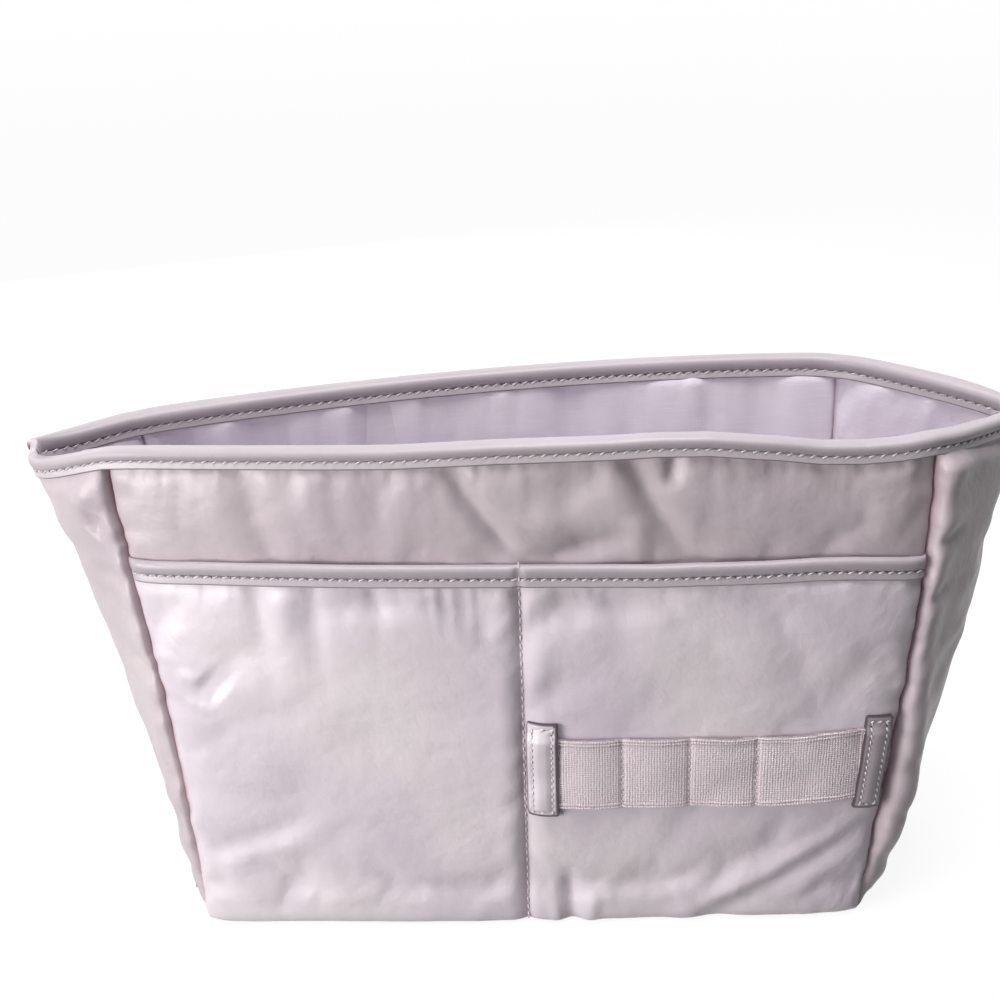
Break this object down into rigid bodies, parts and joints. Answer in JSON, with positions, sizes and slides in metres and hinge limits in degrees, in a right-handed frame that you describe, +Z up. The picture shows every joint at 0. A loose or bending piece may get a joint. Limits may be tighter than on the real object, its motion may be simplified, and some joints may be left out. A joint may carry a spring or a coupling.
{
  "type": "purse organizer insert",
  "caption": "Soft open-topped handbag insert with padded cloth walls, folded ends, bound rim, divided front slip pocket and a sewn elastic loop band.",
  "frame": {"origin": "middle of the flat underside of the base", "axes": "+X along the length to the right as seen from the front, +Y to the back, +Z up"},
  "size_m": [0.3577, 0.1176, 0.1928],
  "materials": {
    "satin": "satin",
    "lining": "satin",
    "leatherette": "smooth",
    "foam": "foam",
    "board": "fibreboard",
    "elastic": "woven"
  },
  "bodies": {
    "base": {"base_shell": "satin", "base_board": "board", "base_lining": "lining", "left_gusset_shell": "satin", "left_gusset_foam": "foam", "left_gusset_lining": "lining", "left_rim_binding": "leatherette", "right_gusset_shell": "satin", "right_gusset_foam": "foam", "right_gusset_lining": "lining", "right_rim_binding": "leatherette"},
    "front": {"front_shell": "satin", "front_foam": "foam", "front_lining": "lining", "front_rim_binding": "leatherette", "front_pocket": "satin", "pocket_binding": "leatherette", "elastic_band": "elastic", "elastic_tab_left": "leatherette", "elastic_tab_right": "leatherette"},
    "back": {"back_shell": "satin", "back_foam": "foam", "back_lining": "lining", "back_rim_binding": "leatherette"}
  },
  "joints": [
    {"name": "front_wall_lean", "type": "hinge", "parent": "base", "child": "front", "pos_m": [0, -0.0477, 0.0063], "axis": [-1, 0, 0], "range_deg": [-4, 6], "deforming": ["left_gusset_shell", "left_gusset_foam", "left_gusset_lining", "left_rim_binding", "right_gusset_shell", "right_gusset_foam", "right_gusset_lining", "right_rim_binding"]},
    {"name": "back_wall_lean", "type": "hinge", "parent": "base", "child": "back", "pos_m": [0, 0.0477, 0.0063], "axis": [1, 0, 0], "range_deg": [-4, 6], "deforming": ["left_gusset_shell", "left_gusset_foam", "left_gusset_lining", "left_rim_binding", "right_gusset_shell", "right_gusset_foam", "right_gusset_lining", "right_rim_binding"]}
  ]
}
